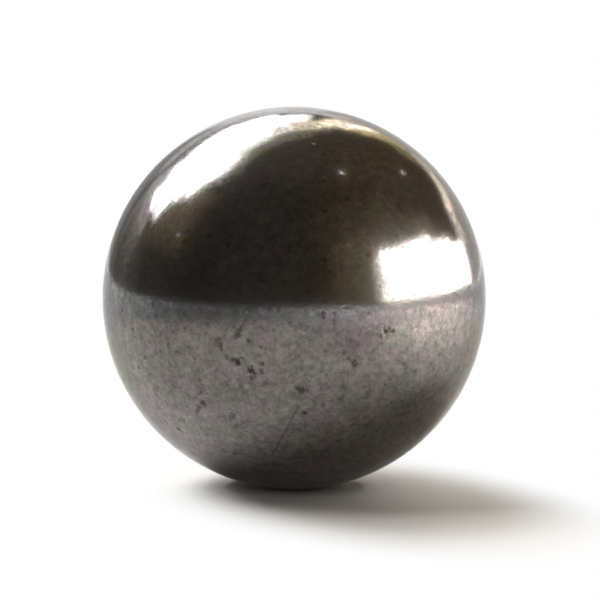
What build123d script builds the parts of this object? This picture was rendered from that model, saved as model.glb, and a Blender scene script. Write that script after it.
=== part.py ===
from build123d import *
import os

# Ball-shaped tungsten fishing weight, in millimetres. The weight is one piece: tungsten
# heavy-alloy powder is pressed and sintered, then ground round and barrel-polished. It has no
# bore, eye or insert, and a lure pocket, cage or mould holds it by its round surface.
# The origin is the ball's centre, with +Z up.

# Driving dimension
ball_diameter = 18.0

# Worked out from it
ball_radius = ball_diameter / 2


def weight_ball():
    """Half a disc, its straight side on the vertical axis, turned once about that axis."""
    top = (0, ball_radius)
    bottom = (0, -ball_radius)
    equator = (ball_radius, 0)
    with BuildPart() as ball:
        with BuildSketch(Plane.XZ):
            with BuildLine():
                ThreePointArc(bottom, equator, top)
                Line(top, bottom)
            make_face()
        revolve(axis=Axis.Z)
    return ball.part


def main():
    os.makedirs("parts", exist_ok=True)
    export_step(weight_ball(), "parts/weight_ball.step")


main()
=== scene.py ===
"""Ball-shaped tungsten fishing weight: a polished, finely pitted ball on a white card."""
import bpy
import math
import random
from mathutils import Matrix, Vector, kdtree, noise


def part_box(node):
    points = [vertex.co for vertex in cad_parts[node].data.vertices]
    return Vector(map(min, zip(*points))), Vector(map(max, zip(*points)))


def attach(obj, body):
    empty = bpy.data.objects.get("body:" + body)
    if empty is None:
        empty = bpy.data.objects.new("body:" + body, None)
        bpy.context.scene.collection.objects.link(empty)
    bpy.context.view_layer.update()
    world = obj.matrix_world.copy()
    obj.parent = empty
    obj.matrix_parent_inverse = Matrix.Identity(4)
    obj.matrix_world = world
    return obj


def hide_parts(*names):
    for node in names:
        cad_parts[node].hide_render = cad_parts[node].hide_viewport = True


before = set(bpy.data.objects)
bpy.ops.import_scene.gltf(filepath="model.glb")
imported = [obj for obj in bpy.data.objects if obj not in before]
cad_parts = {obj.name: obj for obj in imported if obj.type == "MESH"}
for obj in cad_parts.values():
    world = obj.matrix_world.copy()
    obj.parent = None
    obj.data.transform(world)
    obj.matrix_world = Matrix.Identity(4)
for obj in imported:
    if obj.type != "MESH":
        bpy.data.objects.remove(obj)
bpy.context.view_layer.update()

MM = 0.001

# The ball, from the frame
ball_low, ball_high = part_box("weight_ball")
BALL_RADIUS = (ball_high.z - ball_low.z) / 2
FLOOR_HEIGHT = ball_low.z

# The photograph: its side and the ball's place in it, in pixels
PHOTO_SIDE = 600
BALL_MIDDLE_PX = (294.2, 298.0)
BALL_RADIUS_PX = 191.6

# The camera looks along +Y and down at the ball
CAMERA_FALL = math.radians(5.0)
CAMERA_REACH = 13.0 * BALL_RADIUS
CAMERA_BACK = Vector((0, -math.cos(CAMERA_FALL), math.sin(CAMERA_FALL)))
CAMERA_UP = Vector((0, math.sin(CAMERA_FALL), math.cos(CAMERA_FALL)))
CAMERA_RIGHT = Vector((1, 0, 0))
CAMERA_EYE = CAMERA_BACK * CAMERA_REACH
FOCAL_PX = BALL_RADIUS_PX / math.tan(math.asin(BALL_RADIUS / CAMERA_REACH))

# Panes of light: how far from the ball they stand, in metres, and where, in degrees from +Y towards +X
FAR = 6.0
NEAR = 30 * BALL_RADIUS
KEY_FACING = -38
KEY_GLOW_FACING = -90
SIDE_FACING = 107
SIDE_GLOW_FACING = 117
SIDE_HAZE_FACING = 125
BACK_FACING = 12
CORNER_FACING = 37
LEFT_FACING = -55

# Two small lamps that the dome mirrors as glints: pixels across and down, and radiance
GLINTS_SEEN = ((342, 173, 28.0), (403, 173, 24.0))
GLINT_REACH = 2.0
GLINT_SIZE = 0.025

# The white card, in metres and then in ball radii: where its sheen rises, the oval that holds the shadow and
# its turn in degrees, and where the card fades to plain white to the camera and to the polish
CARD_RADIUS = 2.0
SHEEN_RISE = (0.36, 0.8)
SHADOW_MIDDLE = (0.34, -0.31)
SHADOW_HALF = (0.84, 1.62)
SHADOW_TURN = 27.5
CAMERA_FADE = (0.58, 1.3)
POLISH_FADE = (4.2, 9)

# Painted light and shade on the card, seen only in the mirror: the brightest place, by the side panes, in
# ball radii, how far the painted light reaches, and the way towards the painted dimmest
PAINTED_LIGHT_MIDDLE = (14.0, 0, 0)
PAINTED_LIGHT_REACH = 12.0
FRONT_LEFT = (-0.75, -0.66, 0)

# Sinter pits that the photograph shows: pixels across and down, width in pixels, and how open the pit is.
# The ragged ones are several hollows that run together.
PITS_SEEN = [
    (251, 371, 7, 0.3), (252, 377, 6, 0.16), (251, 382, 5, 0.1),
    (237, 362, 6, 0.25), (232, 360, 4, 0.18), (227, 357, 4, 0.12), (241, 358, 4, 0.18),
    (298, 388, 5, 0.2), (302, 390, 6, 0.24), (307, 391, 4, 0.14),
    (203, 403, 6, 0.22), (199, 407, 5, 0.16), (197, 411, 4, 0.14),
    (386, 331.5, 6, 0.3), (392.5, 332, 4, 0.25),
    (354, 364, 6, 0.24), (349, 359, 4, 0.16),
    (247, 315, 2.4, 0.08), (245.5, 318, 2.4, 0.08), (244, 321, 2.6, 0.08), (242.5, 324, 2.8, 0.1),
    (241, 327, 3.2, 0.11), (239.5, 330, 3.8, 0.13), (237.5, 333, 5, 0.17), (235.5, 336.5, 4, 0.13),
    (219, 339, 3.5, 0.13), (219.5, 342.5, 4, 0.16), (220, 346, 4, 0.16), (220.5, 349, 3.5, 0.12),
    (261, 372, 5, 0.2), (262, 363.5, 3.5, 0.24), (368, 393, 7, 0.12), (248, 340, 4, 0.15),
    (261, 347, 3.5, 0.12), (266, 384, 5, 0.12), (304.5, 413, 3.5, 0.24), (269, 411, 4, 0.1),
    (278, 408, 4, 0.1), (233, 416, 6, 0.1), (200, 380, 3.5, 0.14), (200, 392, 4, 0.16),
    (241, 386, 4, 0.1), (244, 393, 4, 0.1), (178, 428.6, 4, 0.24), (323, 313, 3.5, 0.18),
    (323.5, 316, 3.5, 0.13), (367, 333.5, 4, 0.15), (326, 351, 4, 0.14), (344, 352, 4, 0.16),
    (356, 419, 4, 0.14), (331, 423, 4, 0.12), (415, 371, 4, 0.16), (433, 370, 4, 0.14),
    (404, 364, 4, 0.14), (139, 367, 4, 0.14), (133, 330, 4, 0.14), (313, 143, 3.5, 0.12),
    (178, 233, 5, 0.16),
]

# Pits where the photograph doesn't show the ball, drawn from one seed: how many there are with those seen,
# the middle and spread of the logarithm of the radius in millimetres, the largest, and how open they are
PIT_SEED = 18
PIT_COUNT = 230
PIT_LOG_RADIUS = (-2.35, 0.35)
PIT_LARGEST = 0.14
PIT_OPENINGS = (0.08, 0.22)

# These pits start where the surface has turned from the camera, by the cosine of its angle to it
VIEW_EDGE = 0.2

# A drawn pit of more than this radius may be ragged, with lobes of these shares of its radius and opening
LOBED_RADIUS = 0.1 * MM
LOBE_RADII = (0.5, 0.8)
LOBE_OPENING = 0.7

# The dome is polished smoother than the foot: above this height, in ball radii, drawn pits are less open
DOME_HEIGHT = -0.1
DOME_OPENING = 0.2

# A pit's depth as a share of its width and opening, and the opening at which its floor is quite dull and
# fully painted with shade
OPENING_DEPTH = 0.3
OPENING_DULL = 0.27

# A pit is a soft hollow: the width of its wall in radii, and its depth share at the middle, cut off at 1
PIT_WALL = 1.7
PIT_FLOOR = 1.1

# How far a pit's rim may lie from its middle and how far the faces round it are made finer, in radii, and
# the margins for dividing the faces, coarse and fine, and for finding the pits near a point
RIM_REACH = 1.8
FINE_REACH = 1.6
FINE_MARGINS = (0.16 * MM, 0.07 * MM)
FIND_MARGIN = 0.2 * MM

# How ragged the rim is, coarse and fine: share of the wall's width, and size
RIM_RAGGED = ((0.5, 0.16 * MM), (0.4, 0.07 * MM))

# The polishing scratch that the photograph shows: its start, middle and end, in pixels
SCRATCH_SEEN = ((301, 402), (286.5, 429), (270, 459))
SCRATCH_HALF = 0.08 * MM

# Sizes of the finish's patterns
GRAIN = 0.4 * MM
BLOTCH = 1.3 * MM
TINT_DRIFT = 1.0 * MM
PORE_SPACING = 0.5 * MM
PORE_RAGGED = 0.14 * MM
PORE_WANDER = 0.35 * MM
RIPPLE = 0.2 * MM
RIPPLE_DEPTH = 0.002 * MM


def linear(hex_colour):
    """An sRGB hex colour as linear red, green, blue and alpha."""
    channels = [int(hex_colour[i:i + 2], 16) / 255 for i in (1, 3, 5)]
    return [c / 12.92 if c <= 0.04045 else ((c + 0.055) / 1.055) ** 2.4 for c in channels] + [1.0]


def add_node(tree, kind, values=None, links=None, **settings):
    """Adds a shader node: values are its own inputs, links the sockets it reads, settings its properties."""
    node = tree.nodes.new("ShaderNode" + kind)
    for name, setting in settings.items():
        setattr(node, name, setting)
    for socket, value in (values or {}).items():
        node.inputs[socket].default_value = value
    for socket, source in (links or {}).items():
        tree.links.new(source, node.inputs[socket])
    return node


def on_ball(across, down):
    """The point of the ball's surface that the photograph has at a pixel."""
    aside = (across - BALL_MIDDLE_PX[0]) / FOCAL_PX
    rise = (BALL_MIDDLE_PX[1] - down) / FOCAL_PX
    ray = (CAMERA_RIGHT * aside + CAMERA_UP * rise - CAMERA_BACK).normalized()
    nearest = -CAMERA_EYE.dot(ray)
    inside = math.sqrt(BALL_RADIUS ** 2 - CAMERA_REACH ** 2 + nearest ** 2)
    return CAMERA_EYE + ray * (nearest - inside)


def photo_camera():
    """The camera at the photograph's angle, aimed so that the ball lies where the photograph has it."""
    per_px = CAMERA_REACH / FOCAL_PX
    aim = CAMERA_RIGHT * (PHOTO_SIDE / 2 - BALL_MIDDLE_PX[0]) * per_px
    aim += CAMERA_UP * (BALL_MIDDLE_PX[1] - PHOTO_SIDE / 2) * per_px
    turn = (aim - CAMERA_EYE).to_track_quat("-Z", "Y").to_euler()
    bpy.ops.object.camera_add(location=CAMERA_EYE, rotation=turn)
    camera = bpy.context.object
    camera.name = "photo_camera"
    camera.data.lens = camera.data.sensor_width * FOCAL_PX / PHOTO_SIDE
    camera.data.clip_start = BALL_RADIUS
    bpy.context.scene.camera = camera


def soft_pane(name, facing, reach, left, right, bottom, top, radiance, tint="#FFFFFF", lamp=False):
    """An upright pane of light. facing is degrees from +Y towards +X, reach the distance from the ball to
    the pane's plane, and the four edges are shares of reach. A lamp lights the floor, and any other pane is
    only mirrored. Where panes in one plane overlap, only one of them is seen, so a glow that is to add to
    other panes has a reach of its own."""
    out = Vector((math.sin(math.radians(facing)), math.cos(math.radians(facing)), 0))
    along = Vector((out.y, -out.x, 0))
    middle = out * reach + along * reach * (left + right) / 2
    middle.z = reach * (bottom + top) / 2
    turn = (-out).to_track_quat("-Z", "Y").to_euler()
    bpy.ops.object.light_add(type="AREA", location=middle, rotation=turn)
    pane = bpy.context.object
    pane.name = name
    pane.visible_camera = False
    pane.visible_diffuse = lamp
    pane.visible_glossy = not lamp
    light = pane.data
    light.shape = "RECTANGLE"
    light.size = reach * (right - left)
    light.size_y = reach * (top - bottom)
    light.color = linear(tint)[:3]
    light.energy = radiance * math.pi * light.size * light.size_y


def glint_lamp(across, down, radiance):
    """A small lamp that the ball mirrors at a pixel of the photograph."""
    point = on_ball(across, down)
    ray = (point - CAMERA_EYE).normalized()
    way = ray.reflect(point.normalized())
    turn = way.to_track_quat("Z", "Y").to_euler()
    bpy.ops.object.light_add(type="AREA", location=way * GLINT_REACH, rotation=turn)
    lamp = bpy.context.object
    lamp.name = "glint_lamp"
    lamp.visible_camera = False
    lamp.visible_diffuse = False
    lamp.data.size = GLINT_SIZE
    lamp.data.energy = radiance * math.pi * lamp.data.size ** 2


def floor_lamps():
    """Soft lamps for the floor and the shadow: most of the light from high on the left, some from the back
    left and a little from the front."""
    lamp = dict(reach=FAR, lamp=True)
    soft_pane("lamp_left", facing=-85, left=-0.6, right=0.6, bottom=1.1, top=2.1, radiance=11.4, **lamp)
    soft_pane("lamp_front", facing=180, left=-0.6, right=0.6, bottom=0.15, top=0.7, radiance=0.7, **lamp)
    soft_pane("lamp_back", facing=-40, left=-0.5, right=0.5, bottom=1.1, top=1.9, radiance=4.2, **lamp)


def key_panes():
    """The large bright patch at the top left of the dome: panes side by side whose edges step along its
    outline, and dimmer ones round it for its soft fringe."""
    key = dict(facing=KEY_FACING, reach=FAR)
    soft_pane("key_foot", left=-0.33, right=-0.1, bottom=0.47, top=0.53, radiance=9.0, **key)
    soft_pane("key_low", left=-0.53, right=-0.1, bottom=0.53, top=0.85, radiance=9.0, **key)
    soft_pane("key_low_middle", left=-0.1, right=0.06, bottom=0.57, top=0.85, radiance=9.0, **key)
    soft_pane("key_low_side", left=0.06, right=0.22, bottom=0.65, top=0.85, radiance=9.0, **key)
    soft_pane("key_middle", left=-0.64, right=0.45, bottom=0.85, top=1.1, radiance=10.0, **key)
    soft_pane("key_upper", left=-0.8, right=0.45, bottom=1.1, top=1.35, radiance=10.0, **key)
    soft_pane("key_high", left=-0.76, right=0.45, bottom=1.35, top=1.75, radiance=12.0, **key)
    soft_pane("key_high_left", left=-0.76, right=-0.2, bottom=1.75, top=2.05, radiance=9.0, **key)
    soft_pane("key_high_right", left=-0.2, right=0.45, bottom=1.75, top=1.95, radiance=5.0, **key)
    soft_pane("key_low_right", left=0.22, right=0.45, bottom=0.67, top=0.85, radiance=9.0, **key)
    soft_pane("key_right", left=0.45, right=0.68, bottom=0.73, top=1.25, radiance=9.0, **key)
    soft_pane("key_far_right", left=0.68, right=0.9, bottom=0.86, top=1.25, radiance=9.0, **key)
    soft_pane("key_tip", left=1.03, right=1.28, bottom=0.98, top=1.5, radiance=3.0, tint="#FFF2CC", **key)
    soft_pane("key_right_high", left=0.45, right=0.75, bottom=1.25, top=1.97, radiance=3.6, **key)
    soft_pane("key_end", left=0.75, right=1.2, bottom=1.25, top=2.0, radiance=2.3, tint="#FFF8D8", **key)
    soft_pane("key_top", left=-0.74, right=-0.2, bottom=2.05, top=2.35, radiance=3.2, **key)
    soft_pane("key_top_right", left=-0.2, right=0.4, bottom=1.95, top=2.2, radiance=2.2, **key)
    soft_pane("key_side", left=1.28, right=1.42, bottom=0.8, top=1.5, radiance=3.6, **key)
    soft_pane("key_top_fringe", facing=KEY_FACING, reach=FAR + 0.1, left=-0.98, right=1.22, bottom=1.2,
              top=3.0, radiance=0.42, tint="#FFF3C6")
    soft_pane("key_low_fringe", left=-0.1, right=0.75, bottom=0.36, top=0.7, radiance=0.4, **key)
    for step, radiance in enumerate((0.06, 0.1, 0.2, 0.3)):
        soft_pane("key_foot_fringe", facing=KEY_FACING, reach=FAR + 0.02 + 0.02 * step, left=-0.4,
                  right=0.1, bottom=0.12 + 0.07 * step, top=0.56, radiance=radiance, tint="#FFFAEC")
    for step in range(6):
        soft_pane("key_glow", facing=KEY_GLOW_FACING, reach=FAR + 0.2 + 0.04 * step, left=-0.05 * step,
                  right=0.5, bottom=0.63 - 0.06 * step, top=1.12 + 0.05 * step, radiance=0.045,
                  tint="#FFE8B0")


def side_panes():
    """The bright patch low at the right of the dome, which fades at its near end, and the glow round it."""
    side = dict(facing=SIDE_FACING, reach=NEAR, bottom=0.02, tint="#FFFBF4")
    soft_pane("side_main", left=-0.5, right=0.17, top=0.5, radiance=9.0, **side)
    soft_pane("side_middle", left=-1.0, right=-0.5, top=0.435, radiance=9.0, **side)
    soft_pane("side_back", left=-1.7, right=-1.0, top=0.385, radiance=8.0, **side)
    soft_pane("side_front", left=0.17, right=0.31, top=0.53, radiance=8.0, **side)
    soft_pane("side_end", left=0.31, right=0.36, top=0.48, radiance=4.0, **side)
    soft_pane("side_fade", left=0.36, right=0.41, top=0.46, radiance=1.6, **side)
    soft_pane("side_edge", left=0.41, right=0.47, top=0.43, radiance=0.6, **side)
    for step in range(6):
        soft_pane("side_glow", facing=SIDE_GLOW_FACING, reach=(1.1 + 0.015 * step) * NEAR, left=-1.0,
                  right=0.3 + 0.12 * step, bottom=0.02, top=0.58 + 0.07 * step, radiance=0.042,
                  tint="#FFF0C0")
    for step in range(5):
        soft_pane("side_haze", facing=SIDE_HAZE_FACING, reach=(1.2 + 0.015 * step) * NEAR, left=-0.7,
                  right=0.2 + 0.16 * step, bottom=0.02, top=1.1 + 0.15 * step, radiance=0.018,
                  tint="#FFEFC4")
    for reach, left, right in ((1.04 * NEAR, -0.8, 0.75), (1.06 * NEAR, -0.1, 0.45)):
        soft_pane("side_bloom", facing=SIDE_FACING, reach=reach, left=left, right=right, bottom=0.02,
                  top=0.73, radiance=0.1, tint="#FFF3DC")


def back_panes():
    """The pale band along the dome's rim, from the top to the right, with its warm inner edge."""
    band = dict(facing=BACK_FACING, bottom=-0.025, top=0.42)
    soft_pane("back_band", reach=1.3 * NEAR, left=-0.42, right=0.78, radiance=0.75, **band)
    soft_pane("back_band_left", reach=1.3 * NEAR, left=-0.85, right=-0.42, radiance=0.42, **band)
    soft_pane("back_band_middle", reach=1.28 * NEAR, left=-0.42, right=-0.14, radiance=0.45, **band)
    outer = dict(facing=BACK_FACING, reach=1.3 * NEAR)
    for left, right, radiance in ((-0.85, -0.45, 0.8), (-0.45, -0.25, 1.15), (-0.25, -0.05, 1.5)):
        soft_pane("back_high", left=left, right=right, bottom=0.42, top=0.6, radiance=radiance, **outer)
    soft_pane("back_far_left", left=-1.25, right=-0.85, bottom=-0.025, top=0.5, radiance=0.17, **outer)
    inner = dict(facing=BACK_FACING, reach=1.26 * NEAR, tint="#FFF4DC")
    soft_pane("back_step", left=-0.05, right=0.06, bottom=0.56, top=1.2, radiance=1.9, **inner)
    soft_pane("back_notch", left=-0.05, right=0.04, bottom=0.42, top=0.56, radiance=1.1, **inner)
    edge = dict(facing=BACK_FACING, reach=1.26 * NEAR, tint="#FFE6AA")
    soft_pane("back_shoulder", left=0.04, right=0.19, bottom=0.42, top=0.58, radiance=1.6, **edge)
    soft_pane("back_edge", left=0.15, right=0.45, bottom=0.29, top=0.38, radiance=0.8, **edge)
    soft_pane("back_fringe_high", left=0.06, right=0.13, bottom=0.58, top=0.98, radiance=2.6, **edge)
    soft_pane("back_fringe", left=0.13, right=0.2, bottom=0.58, top=0.86, radiance=1.7, **edge)
    soft_pane("back_fringe_low", left=0.2, right=0.34, bottom=0.4, top=0.63, radiance=0.5, **edge)
    corner = dict(facing=CORNER_FACING, reach=1.2 * NEAR)
    soft_pane("back_corner", left=0.04, right=0.27, bottom=0.15, top=0.27, radiance=1.15, tint="#FFEFD2",
              **corner)
    for left, right, radiance in ((-0.16, 0.0, 1.3), (0.0, 0.16, 2.4)):
        soft_pane("back_lip", left=left, right=right, bottom=0.27, top=0.375, radiance=radiance,
                  tint="#FFF0CC", **corner)


def left_panes():
    """The faint light at the left, just above the floor."""
    for reach, half in ((NEAR, 0.12), (1.02 * NEAR, 0.22), (1.04 * NEAR, 0.34)):
        soft_pane("left_glow", facing=LEFT_FACING, reach=reach, left=-half, right=half, bottom=-0.033,
                  top=0.4, radiance=0.055, tint="#FFFAF0")


def white_sheet():
    """The floor that the ball lies on."""
    bpy.ops.mesh.primitive_circle_add(vertices=96, radius=CARD_RADIUS, fill_type="NGON",
                                      location=(0, 0, FLOOR_HEIGHT))
    floor = bpy.context.object
    floor.name = "white_sheet"
    floor.data.materials.append(satin_white_card())


def satin_white_card():
    """The floor's finish. It keeps the ball's shadow, and is plain white away from it, to the camera and to
    the polish, where it also carries painted light by the side panes and painted shade towards the front
    left."""
    # Satin card, calendered smooth: a warm flat white with a faint sheen, kept off the foot of the shadow
    material = bpy.data.materials.new("satin_white_card")
    material.use_nodes = True
    tree = material.node_tree
    shader = tree.nodes["Principled BSDF"]
    shader.inputs["Base Color"].default_value = linear("#F8F5F0")
    shader.inputs["Roughness"].default_value = 0.45
    place = add_node(tree, "TexCoord").outputs["Object"]
    from_foot = add_node(tree, "VectorMath", links={0: place}, operation="LENGTH").outputs["Value"]
    sheen = add_node(tree, "MapRange", {"From Min": SHEEN_RISE[0] * BALL_RADIUS,
                                        "From Max": SHEEN_RISE[1] * BALL_RADIUS, "To Max": 0.5},
                     {"Value": from_foot}).outputs["Result"]
    tree.links.new(sheen, shader.inputs["Specular IOR Level"])

    # The share of plain white: outside an oval round the shadow to the camera, outside a ring to the polish
    rays = add_node(tree, "LightPath").outputs
    shares = []
    for ray, middle, half, turn, fade in (
            ("Is Camera Ray", SHADOW_MIDDLE, SHADOW_HALF, SHADOW_TURN, CAMERA_FADE),
            ("Is Glossy Ray", (0, 0), (1, 1), 0, POLISH_FADE)):
        scaled = add_node(tree, "Mapping", {"Location": Vector((*middle, 0)) * BALL_RADIUS,
                                            "Rotation": (0, 0, math.radians(turn)),
                                            "Scale": Vector((*half, 1)) * BALL_RADIUS}, {"Vector": place},
                          vector_type="TEXTURE").outputs["Vector"]
        away = add_node(tree, "VectorMath", links={0: scaled}, operation="LENGTH").outputs["Value"]
        faded = add_node(tree, "MapRange", {"From Min": fade[0], "From Max": fade[1]}, {"Value": away},
                         interpolation_type="SMOOTHSTEP").outputs["Result"]
        share = add_node(tree, "Math", links={0: faded, 1: rays[ray]}, operation="MULTIPLY").outputs[0]
        shares.append(share)
    share = add_node(tree, "Math", links={0: shares[0], 1: shares[1]}, operation="ADD").outputs[0]

    # Painted light and shade in what the polish mirrors of the card: a glow, brightest by the side panes,
    # stands in for their light, and the plain white is painted dimmer towards the front left
    from_side = add_node(tree, "VectorMath", {1: Vector(PAINTED_LIGHT_MIDDLE) * BALL_RADIUS}, {0: place},
                         operation="DISTANCE").outputs["Value"]
    painted_light_strength = add_node(tree, "MapRange", {"From Min": PAINTED_LIGHT_REACH * BALL_RADIUS, "From Max": 0.0,
                                          "To Min": 0.008, "To Max": 2.5},
                       {"Value": from_side}).outputs["Result"]
    strength = add_node(tree, "Math", links={0: painted_light_strength, 1: rays["Is Glossy Ray"]},
                        operation="MULTIPLY").outputs[0]
    # The glow is painted light: an emission that only the polish sees
    painted_side_light = add_node(tree, "Emission", {"Color": linear("#FFEFE0")}, {"Strength": strength}).outputs[0]
    outward = add_node(tree, "VectorMath", links={0: place}, operation="NORMALIZE").outputs["Vector"]
    to_front = add_node(tree, "VectorMath", {1: FRONT_LEFT}, {0: outward},
                        operation="DOT_PRODUCT").outputs["Value"]
    # Painted shade: the white that the polish sees is dimmer towards the front left
    painted_front_shade = add_node(tree, "MapRange",
                         {"From Min": 0.2, "From Max": 1.0, "To Min": 1.0, "To Max": 0.28},
                         {"Value": to_front}).outputs["Result"]
    level = add_node(tree, "Mix", {2: 1.0}, {0: rays["Is Glossy Ray"], 3: painted_front_shade},
                     data_type="FLOAT").outputs[0]
    white = add_node(tree, "Emission", links={"Strength": level}).outputs[0]
    mixed = add_node(tree, "MixShader", links={0: share, 1: shader.outputs[0], 2: white}).outputs[0]
    added = add_node(tree, "AddShader", links={0: mixed, 1: painted_side_light}).outputs[0]
    tree.links.new(added, tree.nodes["Material Output"].inputs["Surface"])
    return material


def dim_surround():
    """All else that the polish mirrors: dim and warm, lighter to the right and to the back. To the camera it
    is white."""
    world = bpy.data.worlds.new("dim_surround")
    bpy.context.scene.world = world
    world.use_nodes = True
    tree = world.node_tree
    tree.nodes.clear()
    way = add_node(tree, "TexCoord").outputs["Generated"]
    way = add_node(tree, "SeparateXYZ", links={"Vector": way}).outputs
    share = add_node(tree, "MapRange", {"From Min": -1.0, "From Max": 1.0},
                     {"Value": way["X"]}).outputs["Result"]
    ramp = add_node(tree, "ValToRGB", links={"Fac": share})
    stops = ((0.0, "#58544C"), (0.3, "#69645B"), (0.5, "#6C645A"), (0.73, "#756650"), (0.9, "#7A6B59"))
    while len(ramp.color_ramp.elements) < len(stops):
        ramp.color_ramp.elements.new(0.5)
    for element, (position, colour) in zip(ramp.color_ramp.elements, stops):
        element.position = position
        element.color = linear(colour)
    level = add_node(tree, "MapRange", {"From Min": -0.45, "From Max": 0.1, "To Min": 0.56, "To Max": 1.05},
                     {"Value": way["Y"]}).outputs["Result"]
    dim = add_node(tree, "VectorMath", links={0: ramp.outputs["Color"], "Scale": level},
                   operation="SCALE").outputs["Vector"]
    ray = add_node(tree, "LightPath").outputs["Is Camera Ray"]
    seen = add_node(tree, "Mix", {7: linear("#FFFFFF")}, {0: ray, 6: dim}, data_type="RGBA").outputs[2]
    shade = add_node(tree, "Background", links={"Color": seen}).outputs["Background"]
    add_node(tree, "OutputWorld", links={"Surface": shade})


def pit_places():
    """Every modelled pit as its middle, radius and opening: those seen, and others like them elsewhere."""
    per_px = BALL_RADIUS / BALL_RADIUS_PX
    places = []
    for across, down, width, opening in PITS_SEEN:
        places.append((on_ball(across, down), width / 2 * per_px, opening))
    draw = random.Random(PIT_SEED)
    while len(places) < PIT_COUNT:
        height = draw.uniform(-1, 1)
        turn = draw.uniform(0, 2 * math.pi)
        flat = math.sqrt(1 - height * height)
        way = Vector((flat * math.cos(turn), flat * math.sin(turn), height))
        radius = min(PIT_LARGEST, draw.lognormvariate(*PIT_LOG_RADIUS)) * MM
        opening = draw.uniform(*PIT_OPENINGS)
        lobes = draw.choice((0, 0, 1, 2))
        # The side in view has the pits seen and no others
        if way.dot(CAMERA_BACK) > VIEW_EDGE:
            continue
        if height > DOME_HEIGHT:
            opening *= DOME_OPENING
        middle = way * BALL_RADIUS
        places.append((middle, radius, opening))
        for _ in range(lobes if radius > LOBED_RADIUS else 0):
            aside = way.orthogonal().normalized() * radius
            aside.rotate(Matrix.Rotation(draw.uniform(0, 2 * math.pi), 3, way))
            lobe = (middle + aside).normalized() * BALL_RADIUS
            places.append((lobe, radius * draw.uniform(*LOBE_RADII), opening * LOBE_OPENING))
    return places


def pit_share(point, found, places):
    """How dull a point is from the pits round it, from 0 to 1, which also sets the pit's painted shade, and
    how deep it lies.
    """
    ragged = sum(share * noise.noise(point / size) for share, size in RIM_RAGGED)
    dullest_and_darkest = 0.0
    deepest = 0.0
    for _, index, away in found:
        _, radius, opening = places[index]
        inside = min(1, PIT_FLOOR - away / (PIT_WALL * radius) + ragged)
        if inside > 0 and away < RIM_REACH * radius:
            soft = inside * inside * (3 - 2 * inside)
            # This share dulls the pit's floor and also paints shade into it
            dullest_and_darkest = max(dullest_and_darkest, soft * min(1, opening / OPENING_DULL))
            deepest = max(deepest, 2 * radius * opening * OPENING_DEPTH * soft)
    return dullest_and_darkest, deepest


def finer_faces(ball, pit_tree, places, reach):
    """Divides the faces round each pit twice, and pushes the new corners out to the ball's surface."""
    for margin in FINE_MARGINS:
        bpy.ops.object.mode_set(mode="EDIT")
        bpy.ops.mesh.select_mode(type="FACE")
        bpy.ops.mesh.select_all(action="DESELECT")
        bpy.ops.object.mode_set(mode="OBJECT")
        for face in ball.data.polygons:
            near = pit_tree.find_range(face.center, reach)
            face.select = any(away < places[index][1] * FINE_REACH + margin for _, index, away in near)
        bpy.ops.object.mode_set(mode="EDIT")
        bpy.ops.mesh.subdivide(number_cuts=1)
        bpy.ops.object.mode_set(mode="OBJECT")
    bpy.ops.object.modifier_add(type="CAST")
    cast = ball.modifiers[-1]
    cast.cast_type = "SPHERE"
    cast.factor = 1.0
    cast.use_radius_as_size = False
    cast.size = BALL_RADIUS
    bpy.ops.object.modifier_apply(modifier=cast.name)


def sink_pits(ball, pit_tree, places, reach):
    """Sinks the pits along the surface's own normals, and keeps as an attribute how dull and how shaded each
    point is.
    """
    mesh = ball.data
    shares = [0.0] * len(mesh.vertices)
    depths = [0.0] * len(mesh.vertices)
    for vertex in mesh.vertices:
        found = pit_tree.find_range(vertex.co, reach)
        if found:
            shares[vertex.index], depths[vertex.index] = pit_share(vertex.co, found, places)
    deepest = max(depths)
    group = ball.vertex_groups.new(name="pit_depth")
    for index, depth in enumerate(depths):
        if depth > 0:
            group.add([index], depth / deepest, "REPLACE")
    bpy.ops.object.modifier_add(type="DISPLACE")
    sink = ball.modifiers[-1]
    sink.vertex_group = group.name
    sink.strength = -deepest
    sink.mid_level = 0.0
    bpy.ops.object.modifier_apply(modifier=sink.name)
    bpy.ops.object.vertex_group_remove(all=True)
    mesh.attributes.new("pit", "FLOAT", "POINT").data.foreach_set("value", shares)


def pitted_ball():
    """The finished ball: a sphere with finer faces where the pits lie, and the pits sunk into it."""
    places = pit_places()
    reach = max(radius for _, radius, _ in places) * RIM_REACH + FIND_MARGIN
    pit_tree = kdtree.KDTree(len(places))
    for index, (middle, _, _) in enumerate(places):
        pit_tree.insert(middle, index)
    pit_tree.balance()

    bpy.ops.object.select_all(action="DESELECT")
    bpy.ops.mesh.primitive_ico_sphere_add(subdivisions=7, radius=BALL_RADIUS)
    ball = bpy.context.object
    ball.name = "weight_ball_finished"
    finer_faces(ball, pit_tree, places, reach)
    sink_pits(ball, pit_tree, places, reach)
    bpy.ops.object.shade_smooth()
    ball.data.materials.append(polished_tungsten())
    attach(ball, "root")
    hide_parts("weight_ball")


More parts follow.
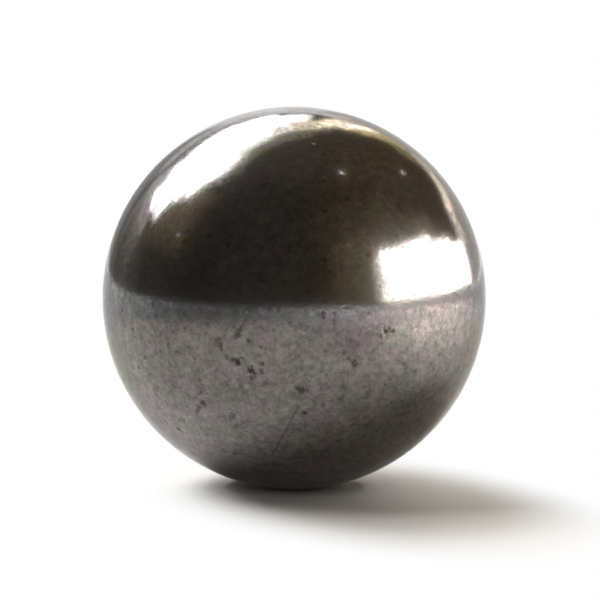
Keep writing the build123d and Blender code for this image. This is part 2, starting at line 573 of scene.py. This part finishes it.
def grain_mottle(tree, place):
    """The grain of the metal, and its colour: mottled, part olive and part mauve over slow blotches."""
    # Tungsten grains are about 0.04 mm wide, too fine to show, so the mottle is drawn up to 0.4 mm coarse
    grain = add_node(tree, "TexNoise", {"Scale": 1 / GRAIN, "Detail": 5.0, "Roughness": 0.9},
                     {"Vector": place}).outputs["Fac"]
    blotch = add_node(tree, "TexNoise", {"Scale": 1 / BLOTCH, "Detail": 3.0},
                      {"Vector": place}).outputs["Fac"]
    mottle = add_node(tree, "Math", {1: 0.15}, {0: blotch, 2: grain}, operation="MULTIPLY_ADD").outputs[0]
    tone = add_node(tree, "MapRange", {"From Min": 0.38, "From Max": 0.75},
                    {"Value": mottle}).outputs["Result"]
    olive = add_node(tree, "Mix", {6: linear("#535553"), 7: linear("#959590")}, {0: tone},
                     data_type="RGBA").outputs[2]
    mauve = add_node(tree, "Mix", {6: linear("#5A5558"), 7: linear("#9B9195")}, {0: tone},
                     data_type="RGBA").outputs[2]
    drift = add_node(tree, "TexNoise", {"Scale": 1 / TINT_DRIFT, "Detail": 4.0},
                     {"Vector": place}).outputs["Fac"]
    drift = add_node(tree, "MapRange", {"From Min": 0.39, "From Max": 0.65},
                     {"Value": drift}).outputs["Result"]
    metal = add_node(tree, "Mix", links={0: drift, 6: olive, 7: mauve}, data_type="RGBA").outputs[2]
    return grain, metal


def small_pores(tree, place):
    """Pores too small to model, as soft ragged flecks of 0.1 to 0.25 mm: how dark each one is, with painted
    shade in the pore, and how bright the few are that catch the light, as painted glints."""
    wander = add_node(tree, "TexNoise", {"Scale": 1 / PORE_RAGGED, "Detail": 2.0},
                      {"Vector": place}).outputs["Color"]
    shifted = add_node(tree, "VectorMath", {1: (PORE_WANDER,) * 3}, {0: wander, 2: place},
                       operation="MULTIPLY_ADD").outputs["Vector"]
    cell = add_node(tree, "TexVoronoi", {"Scale": 1 / PORE_SPACING}, {"Vector": shifted}).outputs
    fleck = add_node(tree, "MapRange", {"From Min": 0.32, "From Max": 0.06, "To Max": 0.7},
                     {"Value": cell["Distance"]}, interpolation_type="SMOOTHSTEP").outputs["Result"]
    chance = add_node(tree, "SeparateColor", links={"Color": cell["Color"]}).outputs
    pore = add_node(tree, "Math", links={0: fleck, 1: chance["Red"]}, operation="MULTIPLY").outputs[0]
    bright = add_node(tree, "MapRange", {"From Min": 0.6, "From Max": 1.0, "To Max": 0.8},
                      {"Value": chance["Green"]}).outputs["Result"]
    bright = add_node(tree, "Math", links={0: fleck, 1: bright}, operation="MULTIPLY").outputs[0]
    return pore, bright


def scratch_line(tree, place):
    """The scratch: a line where a plane through its three points cuts the ball, fading out at both ends."""
    start, middle, end = (on_ball(*pixel) for pixel in SCRATCH_SEEN)
    across = (middle - start).cross(end - start).normalized()
    along = end - start
    off_line = add_node(tree, "VectorMath", {1: across / SCRATCH_HALF}, {0: place},
                        operation="DOT_PRODUCT").outputs["Value"]
    off_line = add_node(tree, "Math", {1: across.dot(start) / SCRATCH_HALF}, {0: off_line},
                        operation="SUBTRACT").outputs[0]
    off_line = add_node(tree, "Math", links={0: off_line}, operation="ABSOLUTE").outputs[0]
    line = add_node(tree, "MapRange", {"From Min": 1.0, "From Max": 0.1, "To Max": 0.55},
                    {"Value": off_line}).outputs["Result"]
    run = add_node(tree, "VectorMath", {1: along / along.length_squared}, {0: place},
                   operation="DOT_PRODUCT").outputs["Value"]
    first = along.dot(start) / along.length_squared
    fade_in = add_node(tree, "MapRange", {"From Min": first, "From Max": first + 0.06},
                       {"Value": run}).outputs["Result"]
    fade_out = add_node(tree, "MapRange", {"From Min": first + 1.0, "From Max": first + 0.88},
                        {"Value": run}).outputs["Result"]
    line = add_node(tree, "Math", links={0: line, 1: fade_in}, operation="MULTIPLY").outputs[0]
    return add_node(tree, "Math", links={0: line, 1: fade_out}, operation="MULTIPLY").outputs[0]


def polished_tungsten():
    """The ball's finish."""
    # Sintered tungsten heavy alloy, ground and barrel-polished. Hard tungsten grains in a softer binder
    # polish unevenly, so the dark mirror is mottled, finely rippled and peppered with dull open pores.
    material = bpy.data.materials.new("polished_tungsten_heavy_alloy")
    material.use_nodes = True
    tree = material.node_tree
    shader = tree.nodes["Principled BSDF"]
    shader.inputs["Metallic"].default_value = 1.0
    shader.inputs["Specular Tint"].default_value = linear("#DEDEDE")
    place = add_node(tree, "TexCoord").outputs["Object"]
    grain, metal = grain_mottle(tree, place)
    pore, bright = small_pores(tree, place)
    pit = add_node(tree, "Attribute", attribute_name="pit").outputs["Fac"]
    scratch = scratch_line(tree, place)

    # Painted glints on bright flecks, then painted shade in the pits and pores, then the scratch, over the
    # metal's own colour
    hollow = add_node(tree, "Math", links={0: pit, 1: pore}, operation="MAXIMUM").outputs[0]
    colour = metal
    for share, tint in ((bright, "#B9B6AF"), (hollow, "#3C3936"), (scratch, "#4A4643")):
        colour = add_node(tree, "Mix", {7: linear(tint)}, {0: share, 6: colour}, data_type="RGBA").outputs[2]
    tree.links.new(colour, shader.inputs["Base Color"])

    # A mirror with duller grains, and pits that the polish did not reach
    sheen = add_node(tree, "MapRange", {"From Min": 0.3, "From Max": 0.6, "To Min": 0.25, "To Max": 0.08},
                     {"Value": grain}).outputs["Result"]
    open_pit = add_node(tree, "MapRange", {"From Max": 0.4}, {"Value": pit}).outputs["Result"]
    dull = add_node(tree, "Mix", {3: 0.45}, {0: open_pit, 2: sheen}, data_type="FLOAT").outputs[0]
    tree.links.new(dull, shader.inputs["Roughness"])

    # Ripple of the polish, with the small pores sunk in
    ripple = add_node(tree, "TexNoise", {"Scale": 1 / RIPPLE, "Detail": 3.0},
                      {"Vector": place}).outputs["Fac"]
    height = add_node(tree, "Math", {1: -1.0}, {0: pore, 2: ripple}, operation="MULTIPLY_ADD").outputs[0]
    bump = add_node(tree, "Bump", {"Distance": RIPPLE_DEPTH}, {"Height": height}).outputs["Normal"]
    tree.links.new(bump, shader.inputs["Normal"])
    return material


bpy.context.scene.view_settings.view_transform = "Standard"
photo_camera()
floor_lamps()
key_panes()
side_panes()
back_panes()
left_panes()
for glint in GLINTS_SEEN:
    glint_lamp(*glint)
white_sheet()
dim_surround()
pitted_ball()
